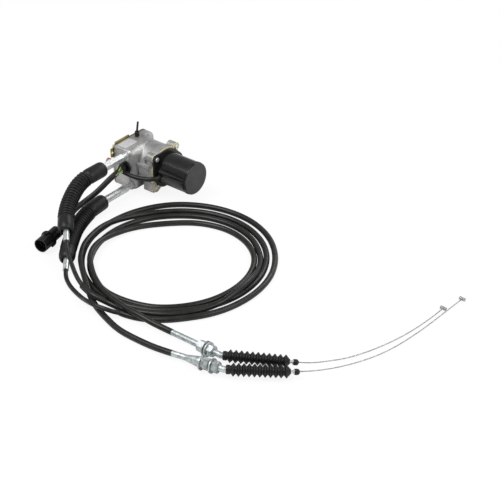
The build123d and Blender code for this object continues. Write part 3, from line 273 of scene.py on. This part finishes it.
WIRE_STEEL = mottled("wire_steel", (0.30, 0.29, 0.27), (0.50, 0.48, 0.45),
                     (0.3, 0.42), 0.85, 260.0, 0.3, 1800.0)
PLATED = mottled("plated_steel", (0.40, 0.44, 0.45), (0.66, 0.69, 0.69),
                 (0.40, 0.52), 0.85, 160.0, 0.08, 700.0)
NIPPLE = mottled("nipple_grey", (0.34, 0.335, 0.32), (0.52, 0.51, 0.49),
                 (0.34, 0.46), 0.8, 260.0, 0.12, 1800.0)
LABEL = mottled("label_silver", grey(0.62), grey(0.70), (0.38, 0.46), 0.35, 60.0, 0.05, 800.0)

MATERIALS = {
    "cast_aluminium": CAST, "zinc_yellow": ZINC, "bright_steel": BRIGHT, "shaft_steel": STEEL,
    "can_black": CAN, "gasket_cream": GASKET, "rubber_black": RUBBER, "cable_black": CABLE,
    "plastic_black": PLASTIC, "ferrite": FERRITE, "copper": COPPER, "lamination": LAMINATION,
    "carbon": CARBON, "brass": BRASS, "gear_steel": STEEL, "drum_aluminium": CAST,
    "wire_steel": WIRE_STEEL, "label_silver": LABEL,
}


def paint(obj, shader):
    obj.data.materials.clear()
    obj.data.materials.append(shader.material)


def paint_end(obj, shader, x):
    """A second material for the faces that look along +X beyond x."""
    obj.data.materials.append(shader.material)
    for polygon in obj.data.polygons:
        if polygon.normal.x > 0.9 and polygon.center.x > x:
            polygon.material_index = 1


CAN_END_DEPTH = 0.002     # of the band at the can's far end that takes the rougher black
for subpart in frame["record"]["subparts"]:
    paint(frame["nodes"][subpart["node"]], MATERIALS[subpart["material_slot"]])
paint(frame["nodes"]["motor_flange"], FLANGE)
paint_end(frame["nodes"]["motor_can"], CAN_END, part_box("motor_can")[1][0] - CAN_END_DEPTH)
paint(frame["nodes"]["crimp_sleeve"], DIMPLED)
paint(frame["nodes"]["connector_terminals"], TINNED)
for node in ("hub_1", "hub_2", "hub_nuts", "hub_washers"):
    paint(frame["nodes"][node], PLATED)


# ---------------------------------------------------------------- curves and tubes
def link(obj):
    bpy.context.scene.collection.objects.link(obj)
    return obj


def spline_curve(name, points, radius):
    """A smooth tube whose NURBS line has these points as its control points."""
    data = bpy.data.curves.new(name, "CURVE")
    data.dimensions = "3D"
    data.resolution_u = 10
    data.bevel_depth = radius
    data.bevel_resolution = 5
    data.use_fill_caps = True
    spline = data.splines.new("NURBS")
    spline.points.add(len(points) - 1)
    for place, point in zip(spline.points, points):
        place.co = (*point, 1.0)
    spline.order_u = 3
    spline.use_endpoint_u = True
    return link(bpy.data.objects.new(name, data))


def line_of(points):
    """The points that the NURBS line through this route passes."""
    curve = spline_curve("line", points, 0.0)
    bpy.context.view_layer.update()
    mesh = bpy.data.meshes.new_from_object(curve.evaluated_get(bpy.context.evaluated_depsgraph_get()))
    line = [v.co.copy() for v in mesh.vertices]
    data = curve.data
    bpy.data.objects.remove(curve)
    bpy.data.curves.remove(data)
    bpy.data.meshes.remove(mesh)
    return line


def length_of(line):
    return sum((b - a).length for a, b in zip(line, line[1:]))


def walk(line, distance):
    """Point and direction at a distance along a line."""
    for a, b in zip(line, line[1:]):
        run = (b - a).length
        if distance <= run and run > 1e-9:
            return a + (b - a) * (distance / run), (b - a).normalized()
        distance -= run
    return line[-1].copy(), (line[-1] - line[-2]).normalized()


def mesh_object(name, bm, shader, smooth=True):
    bmesh.ops.recalc_face_normals(bm, faces=bm.faces)
    data = bpy.data.meshes.new(name)
    bm.to_mesh(data)
    bm.free()
    for polygon in data.polygons:
        polygon.use_smooth = smooth
    obj = link(bpy.data.objects.new(name, data))
    paint(obj, shader)
    return obj


def swept(name, line, profile, shader, sides=40):
    """A surface of revolution bent along a line: profile is a list of (distance along, radius)."""
    bm = bmesh.new()
    rings = []
    up = Vector((0.0, 0.0, 1.0))
    _, first = walk(line, profile[0][0])
    side = first.cross(up).normalized()
    for distance, radius in profile:
        centre, direction = walk(line, distance)
        side = (side - direction * side.dot(direction)).normalized()
        other = direction.cross(side)
        ring = []
        for k in range(sides):
            a = 2 * math.pi * k / sides
            ring.append(bm.verts.new(centre + side * (radius * math.cos(a)) + other * (radius * math.sin(a))))
        rings.append(ring)
    for a, b in zip(rings, rings[1:]):
        for k in range(sides):
            bm.faces.new((a[k], a[(k + 1) % sides], b[(k + 1) % sides], b[k]))
    bm.faces.new(rings[0])
    bm.faces.new(rings[-1])
    return mesh_object(name, bm, shader)


def cord(name, points, diameter, shader, body, nodes):
    """A free cord in place of its CAD nodes; returns the line it follows."""
    obj = spline_curve(name, points, diameter / 2)
    paint(obj, shader)
    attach(obj, body)
    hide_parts(*nodes)
    line = line_of(points)
    print(name, "length", round(length_of(line), 3))
    return line


# ---------------------------------------------------------------- the coil
def between_stations(stations, angle):
    """Radius and height at an angle, in proportion between the stations on either side."""
    for (a0, r0, z0), (a1, r1, z1) in zip(stations, stations[1:]):
        if angle <= a1:
            t = (angle - a0) / (a1 - a0)
            return r0 + (r1 - r0) * t, z0 + (z1 - z0) * t
    return stations[-1][1:]


def coil_points(stations):
    """Control points at every station and about every COIL_STEP degrees between them."""
    angles = []
    for (a0, _, _), (a1, _, _) in zip(stations, stations[1:]):
        count = max(1, round((a1 - a0) / COIL_STEP))
        angles += [a0 + (a1 - a0) * k / count for k in range(count)]
    angles.append(stations[-1][0])
    points = []
    for before, angle, after in zip(angles[:1] + angles, angles, angles[1:] + angles[-1:]):
        radius, height = between_stations(stations, angle)
        radius /= math.cos(math.radians(after - before) / 4)
        a = math.radians(angle)
        points.append((COIL_CENTRE[0] + radius * math.cos(a) * MM,
                       COIL_CENTRE[1] + radius * math.sin(a) * MM, height * MM))
    return points


HUB_RUN = 0.020           # of each cable's last straight, before its hub
hub_run = [HUB_START[n] - (HUB_TIP[n] - HUB_START[n]).normalized() * HUB_RUN for n in (0, 1)]
ROUTE_1 = coil_points(COIL_1) + LEAD_OUT_1 + [tuple(hub_run[0]), tuple(HUB_START[0])]
ROUTE_2 = coil_points(COIL_2) + LEAD_OUT_2 + [tuple(hub_run[1]), tuple(HUB_START[1])]

# ---------------------------------------------------------------- cords
BARREL_HALF = 0.0052
BARREL_RADIUS = 0.0029
BARREL_AHEAD = 0.0022     # of the wire's last point
BARREL_CHAMFER = 0.0004
BARREL_SHOULDER = (0.0036, 0.0040, 0.0064, 0.0068)
ROD_INSIDE = 0.030        # of each pull wire's rod inside its bellows
ROD_OUTSIDE = 0.004       # and beyond it, before the bare wire bends


def cross_barrel(name, before, tip):
    """The nipple cast across a pull wire's end: a chamfered barrel with a waist round the wire."""
    direction = (tip - before).normalized()
    across = direction.cross(Vector((0.0, 0.0, 1.0))).normalized()
    centre = tip + direction * BARREL_AHEAD
    length = 2 * BARREL_HALF
    shares = ((0.0, 0.55), (0.0, 0.86), (BARREL_CHAMFER, 1.0), (BARREL_SHOULDER[0], 1.0),
              (BARREL_SHOULDER[1], 0.90), (BARREL_SHOULDER[2], 0.90), (BARREL_SHOULDER[3], 1.0),
              (length - BARREL_CHAMFER, 1.0), (length, 0.86), (length, 0.55))
    profile = [(distance, BARREL_RADIUS * share) for distance, share in shares]
    return swept(name, [centre - across * BARREL_HALF, centre + across * BARREL_HALF], profile, NIPPLE, 32)


conduit_lines = []
for n, points in enumerate((CONDUIT_1, CONDUIT_2), 1):
    conduit_lines.append(cord(
        f"conduit_{n}", points, CONDUIT, CABLE, "unit", [f"cable_{n}_lead_in"]))
for n, points in enumerate((ROUTE_1, ROUTE_2), 1):
    cord(f"cable_{n}", points, SLEEVED, CABLE, "unit", [f"cable_{n}_lead_out", "cable_coil"])
for n, points in enumerate((WIRE_1, WIRE_2), 1):
    barrel = cross_barrel(f"cross_barrel_{n}", Vector(points[-2]), Vector(points[-1]))
    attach(barrel, f"pull_wire_{n}")
    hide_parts(f"wire_end_{n}")
    start, end = HUB_TIP[n - 1], BELLOWS_END[n - 1]
    u = (end - start).normalized()
    rod = [tuple(end - u * ROD_INSIDE), tuple(end + u * ROD_OUTSIDE)]
    cord(f"pull_wire_line_{n}", rod + points, WIRE, WIRE_STEEL, f"pull_wire_{n}",
         [f"inner_wire_{n}"])
harness_line = cord("harness_line", HARNESS, HARNESS_DIAMETER, CABLE, "unit", ["harness"])
cord("motor_lead_line", MOTOR_LEAD, LEAD_DIAMETER, CABLE, "unit", ["motor_lead"])

# ---------------------------------------------------------------- boots and bellows
BOOT_COLLAR = 40.0        # millimetres, as in the rest of the boot's profile
BOOT_CUFF = 33.0
RIB = ((0.30, 11.6), (0.40, 12.7), (0.52, 14.1), (0.66, 14.6), (0.80, 14.1), (0.90, 12.7), (1.00, 11.6))


def place_piece(obj, body, slot, *nodes):
    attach(obj, body)
    if nodes:
        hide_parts(*nodes)
    return obj


def boot_profile(length, ribs):
    """Rounded upper collar, round-topped ribs, lower cuff and a lip tucked in round the ferrule."""
    length = length / MM
    top, bottom = BOOT_COLLAR, length - BOOT_CUFF
    profile = [(0.2, 6.6), (0.0, 9.5), (0.6, 11.8), (2.0, 13.1), (4.5, 13.8),
               (9.0, 14.0), (top - 6.0, 14.1), (top - 2.5, 13.8), (top, 12.2)]
    pitch = (bottom - top) / ribs
    for k in range(ribs):
        profile += [(top + pitch * (k + share), radius) for share, radius in RIB]
    profile += [(bottom + 1.5, 13.4), (bottom + 4.0, 14.0), (length - 14.0, 14.2),
                (length - 8.0, 13.6), (length - 4.0, 12.4), (length - 1.2, 10.6),
                (length, 9.2), (length - 0.6, 8.0), (length - 4.0, 7.2), (length - 9.0, 6.2)]
    return [(distance * MM, radius * MM) for distance, radius in profile]


for n in (0, 1):
    boot_line = [BOOT_START[n]] + conduit_lines[n]
    boot = swept(f"rubber_boot_{n + 1}", boot_line, boot_profile(BOOT_LENGTH[n], BOOT_RIBS[n]), RUBBER, 48)
    place_piece(boot, "unit", "rubber_black", f"boot_{n + 1}")

BELLOWS_SEAT = 0.003      # from the hub's tip to the bellows
BELLOWS_HEAD = 0.0070     # length of the collar over the thread
BELLOWS_NECK = 0.0024     # its length, on the moving rod
BELLOWS_FOLDS = 11
BELLOWS_PEAK = 0.0104
BELLOWS_ROOT = 0.0060
FOLD = ((0.22, 0.42), (0.42, 0.92), (0.50, 1.00), (0.58, 0.92), (0.78, 0.42), (1.00, 0.00))
TIP_GAP = 0.0050          # from the bellows to the tip sleeve
TIP_LENGTH = 0.0085
TIP_PROFILE = [(0.0, 0.0020), (0.0, 0.0040), (0.0005, 0.0048), (0.0055, 0.0048), (0.0065, 0.0042),
               (0.0084, 0.0022), (0.0084, 0.0011)]


def bellows_profile(length):
    """Collar over the hub's thread, the pleats and a small neck on the moving rod."""
    profile = [(0.0, 0.0052), (0.0, 0.0066), (0.0010, 0.0073), (BELLOWS_HEAD - 0.0015, 0.0073),
               (BELLOWS_HEAD, BELLOWS_ROOT)]
    pitch = (length - BELLOWS_HEAD - BELLOWS_NECK) / BELLOWS_FOLDS
    depth = BELLOWS_PEAK - BELLOWS_ROOT
    for k in range(BELLOWS_FOLDS):
        profile += [(BELLOWS_HEAD + pitch * (k + share), BELLOWS_ROOT + depth * height)
                    for share, height in FOLD]
    return profile + [(length - BELLOWS_NECK * 0.4, 0.0044), (length, 0.0038), (length, 0.0030)]


for n in (0, 1):
    direction = (BELLOWS_END[n] - HUB_TIP[n]).normalized()
    start, end = HUB_TIP[n] + direction * BELLOWS_SEAT, BELLOWS_END[n]
    profile = bellows_profile((end - start).length)
    pleats = swept(f"pleated_bellows_{n + 1}", [start, end], profile, RUBBER, 40)
    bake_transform(pleats)
    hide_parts(f"bellows_{n + 1}")
    cap_start = end + direction * TIP_GAP
    cap_line = [cap_start, cap_start + direction * TIP_LENGTH]
    cap = swept(f"tip_sleeve_{n + 1}", cap_line, TIP_PROFILE, RUBBER, 28)
    place_piece(cap, f"pull_wire_{n + 1}", "rubber_black")


# ---------------------------------------------------------------- wires at the grommet and the connector
def colored(name, color):
    return mottled(name, tuple(0.8 * c for c in color), color, (0.35, 0.45), 0.0, 200.0, 0.05)


def small_wire(name, points, radius, shader):
    curve = spline_curve(name, points, radius)
    paint(curve, shader)
    return place_piece(curve, "unit", "cable_black")


def beside(line, start, end, angle, offset, steps, twist):
    """Points that run along a line at a distance from it, turning slowly round it."""
    points = []
    for k in range(steps + 1):
        centre, direction = walk(line, start + (end - start) * k / steps)
        side = direction.cross(Vector((0.0, 0.0, 1.0))).normalized()
        a = angle + twist * k / steps
        points.append(tuple(centre + (side * math.cos(a) + side.cross(direction) * math.sin(a)) * offset))
    return points


WIRE_COLORS = {"green": (0.02, 0.30, 0.12), "yellow": (0.75, 0.62, 0.08), "white": grey(0.72),
               "red": (0.55, 0.03, 0.06), "lime": (0.55, 0.66, 0.20)}
WIRE_SHADERS = {name: colored(f"insulation_{name}", color) for name, color in WIRE_COLORS.items()}
JACKET_OFFSET = 0.0064    # of the wires at the grommet, from the harness's middle
CONNECTOR_OFFSET = 0.0058
GROMMET_WIRE_RADIUS = 0.0009
CONNECTOR_WIRE_RADIUS = 0.0010
LOOP_RADIUS = 0.0011
GROMMET_WIRES = (("yellow", 0.012), ("green", 0.017), ("lime", 0.021), ("white", 0.015))
for k, (color, end) in enumerate(GROMMET_WIRES):
    start, angle, twist = 0.004 + 0.001 * k, 1.75 + 0.55 * k, 0.5 - 0.25 * k
    side_points = beside(harness_line, start, end, angle, JACKET_OFFSET, 6, twist)
    small_wire(f"wire_{color}", side_points, GROMMET_WIRE_RADIUS, WIRE_SHADERS[color])
total = length_of(harness_line)
for k, color in enumerate(("green", "white")):
    side_points = beside(harness_line, total - 0.012, total, 2.4 - 1.7 * k, CONNECTOR_OFFSET, 3, 0.2)
    small_wire(f"wire_{color}_end", side_points, CONNECTOR_WIRE_RADIUS, WIRE_SHADERS[color])
LOOP = ((-0.0700, -0.0500, 0.0585), (-0.0705, -0.0555, 0.0640), (-0.0700, -0.0625, 0.0700),
        (-0.0680, -0.0690, 0.0680), (-0.0660, -0.0700, 0.0600), (-0.0640, -0.0640, 0.0540),
        (-0.0600, -0.0560, 0.0500))
small_wire("loop_white", LOOP, LOOP_RADIUS, WIRE_SHADERS["white"])
small_wire("loop_red", [(x + 0.002, y, z) for x, y, z in LOOP[1:4]], LOOP_RADIUS, WIRE_SHADERS["red"])
RELIEF_PROFILE = [(0.0, 0.0095), (0.002, 0.0090), (0.005, 0.0074), (0.008, 0.0062), (0.009, 0.0054)]
relief = swept("strain_relief", harness_line, RELIEF_PROFILE, RUBBER, 36)
place_piece(relief, "unit", "rubber_black")

# ---------------------------------------------------------------- floor, light, world
FLOOR_SIZE = 12.0
FLOOR_HEIGHT = -0.0002
FLOOR_GLOW = 1.03         # of the white that the camera sees
FLOOR_GLOW_SHARE = 0.86   # the rest of what the camera sees is the lit floor, with its shadows
ROOM_LIGHT = 0.40         # of the world as a light; the camera sees it white


def make_floor():
    bm = bmesh.new()
    corners = [bm.verts.new((x * FLOOR_SIZE / 2, y * FLOOR_SIZE / 2, FLOOR_HEIGHT)) for x, y in
               ((-1, -1), (1, -1), (1, 1), (-1, 1))]
    bm.faces.new(corners)
    s = Shader("floor_white", grey(0.86), 0.9)
    floor = mesh_object("floor", bm, s, smooth=False)
    glow = s.add("ShaderNodeEmission")
    glow.inputs["Color"].default_value = (1, 1, 1, 1)
    glow.inputs["Strength"].default_value = FLOOR_GLOW
    path = s.add("ShaderNodeLightPath")
    mix = s.add("ShaderNodeMixShader")
    shade = s.add("ShaderNodeMath", operation="MULTIPLY")
    shade.inputs[1].default_value = FLOOR_GLOW_SHARE
    s.link(path.outputs["Is Camera Ray"], shade.inputs[0])
    s.link(shade.outputs[0], mix.inputs["Fac"])
    s.link(s.shader.outputs[0], mix.inputs[1])
    s.link(glow.outputs[0], mix.inputs[2])
    s.link(mix.outputs[0], s.tree.nodes["Material Output"].inputs["Surface"])


LIGHT_TARGET = (0.2, -0.15, 0.0)


def area_light(name, place, size, power):
    data = bpy.data.lights.new(name, "AREA")
    data.shape = "RECTANGLE"
    data.size, data.size_y = size
    data.energy = power
    light = link(bpy.data.objects.new(name, data))
    light.location = place
    light.rotation_euler = (Vector(place) - Vector(LIGHT_TARGET)).to_track_quat("Z", "Y").to_euler()


def make_world():
    world = bpy.data.worlds.new("studio")
    bpy.context.scene.world = world
    world.use_nodes = True
    tree = world.node_tree
    soft = tree.nodes["Background"]
    soft.inputs["Color"].default_value = (1, 1, 1, 1)
    soft.inputs["Strength"].default_value = ROOM_LIGHT
    white = tree.nodes.new("ShaderNodeBackground")
    white.inputs["Color"].default_value = (1, 1, 1, 1)
    white.inputs["Strength"].default_value = 1.0
    path = tree.nodes.new("ShaderNodeLightPath")
    mix = tree.nodes.new("ShaderNodeMixShader")
    tree.links.new(path.outputs["Is Camera Ray"], mix.inputs["Fac"])
    tree.links.new(soft.outputs[0], mix.inputs[1])
    tree.links.new(white.outputs[0], mix.inputs[2])
    tree.links.new(mix.outputs[0], tree.nodes["World Output"].inputs["Surface"])


make_floor()
make_world()
area_light("key", (-0.4, -1.2, 2.2), (1.6, 1.2), 34.0)
area_light("fill", (1.9, 0.2, 1.5), (1.4, 1.2), 16.0)
area_light("back", (0.3, 1.9, 1.6), (1.6, 0.8), 14.0)
bpy.context.scene.view_settings.view_transform = "Standard"
